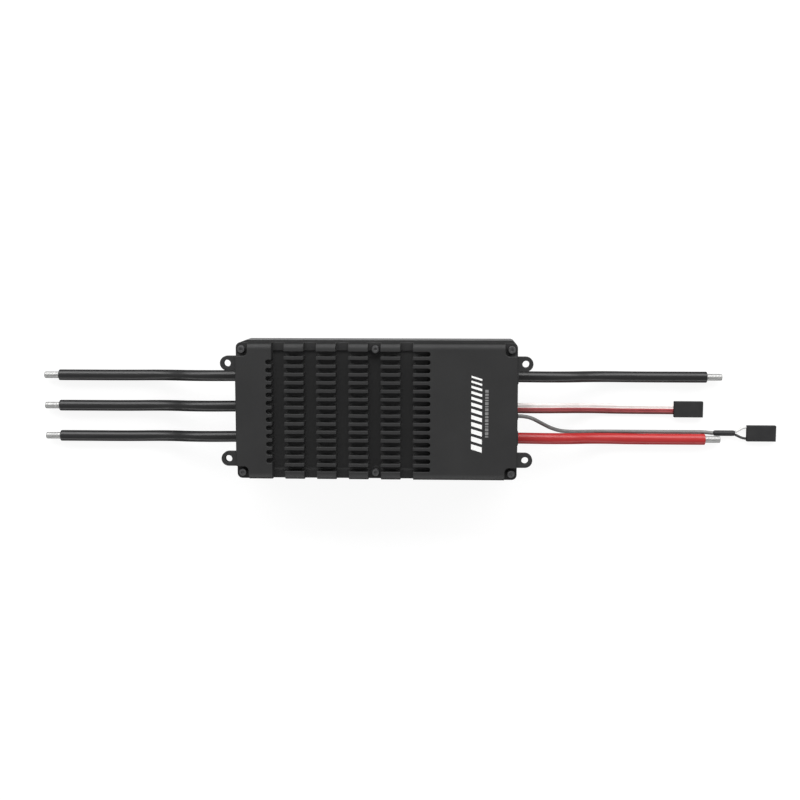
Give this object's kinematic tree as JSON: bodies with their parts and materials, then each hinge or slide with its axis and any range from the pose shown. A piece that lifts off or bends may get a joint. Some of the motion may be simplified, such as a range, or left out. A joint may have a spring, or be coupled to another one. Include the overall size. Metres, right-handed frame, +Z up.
{
  "type": "electronic speed controller",
  "caption": "Long rectangular motor speed controller: finned metal case with lugs at its corners, thick power leads from both ends, a flat signal lead and a thin data cable with plugs.",
  "frame": {"origin": "centre of the case's underside; the leads are left out of this", "axes": "+X along the case towards the battery end, where the two battery leads, the signal lead and the data cable leave; +Y across the case; +Z up, out of the finned face"},
  "size_m": [0.3764, 0.0672, 0.038],
  "materials": {
    "case": "fine matt black anodised finish",
    "lower_case": "fine matt dark grey anodised finish",
    "seal": "black silicone rubber",
    "screw": "blackened steel cap-head screws",
    "board": "green solder-masked glass-fibre laminate",
    "package": "black moulded chip packages",
    "pad": "grey thermally conductive silicone pad",
    "copper": "bare copper",
    "capacitor": "dark sleeved aluminium cans",
    "connector": "off-white nylon connector bodies",
    "black_lead": "black silicone insulation, satin",
    "red_lead": "red silicone insulation, satin",
    "tinned": "bright tinned stranded copper",
    "signal_lead": "flat three-strand lead, white, red and dark brown",
    "data_cable": "grey round sheathed cable",
    "sleeve": "black heat-shrink sleeve",
    "white_wire": "white wire insulation",
    "black_wire": "black wire insulation",
    "plug": "black moulded plug housings"
  },
  "bodies": {
    "root": {"heatsink_cover": "case", "lower_case": "lower_case", "motor_lead_seal": "seal", "battery_lead_seal": "seal", "gasket_back": "seal", "gasket_front": "seal", "cover_screw_left_front": "screw", "cover_screw_left_back": "screw", "cover_screw_right_front": "screw", "cover_screw_right_back": "screw", "cover_screw_middle_front": "screw", "cover_screw_middle_back": "screw", "board_screw_1": "screw", "board_screw_2": "screw", "board_screw_3": "screw", "board_screw_4": "screw", "power_board": "board", "control_board": "board", "mosfet_phase_1_low": "package", "mosfet_phase_1_high": "package", "mosfet_phase_2_low": "package", "mosfet_phase_2_high": "package", "mosfet_phase_3_low": "package", "mosfet_phase_3_high": "package", "microcontroller": "package", "thermal_pad": "pad", "bus_bar_positive": "copper", "bus_bar_negative": "copper", "motor_terminal_back": "copper", "motor_terminal_middle": "copper", "motor_terminal_front": "copper", "battery_terminal_negative": "copper", "battery_terminal_positive": "copper", "input_capacitor_1": "capacitor", "input_capacitor_2": "capacitor", "input_capacitor_3": "capacitor", "input_capacitor_4": "capacitor", "input_capacitor_5": "capacitor", "input_capacitor_6": "capacitor", "signal_connector": "connector", "board_header": "connector", "motor_lead_back": "black_lead", "motor_lead_middle": "black_lead", "motor_lead_front": "black_lead", "battery_lead_negative": "black_lead", "battery_lead_positive": "red_lead", "motor_lead_back_tinned_end": "tinned", "motor_lead_middle_tinned_end": "tinned", "motor_lead_front_tinned_end": "tinned", "battery_lead_negative_tinned_end": "tinned", "battery_lead_positive_tinned_end": "tinned", "signal_lead": "signal_lead", "data_cable": "data_cable", "data_cable_sleeve": "sleeve", "data_wire_white": "white_wire", "data_wire_black": "black_wire", "signal_plug": "plug", "data_plug": "plug"}
  },
  "joints": []
}
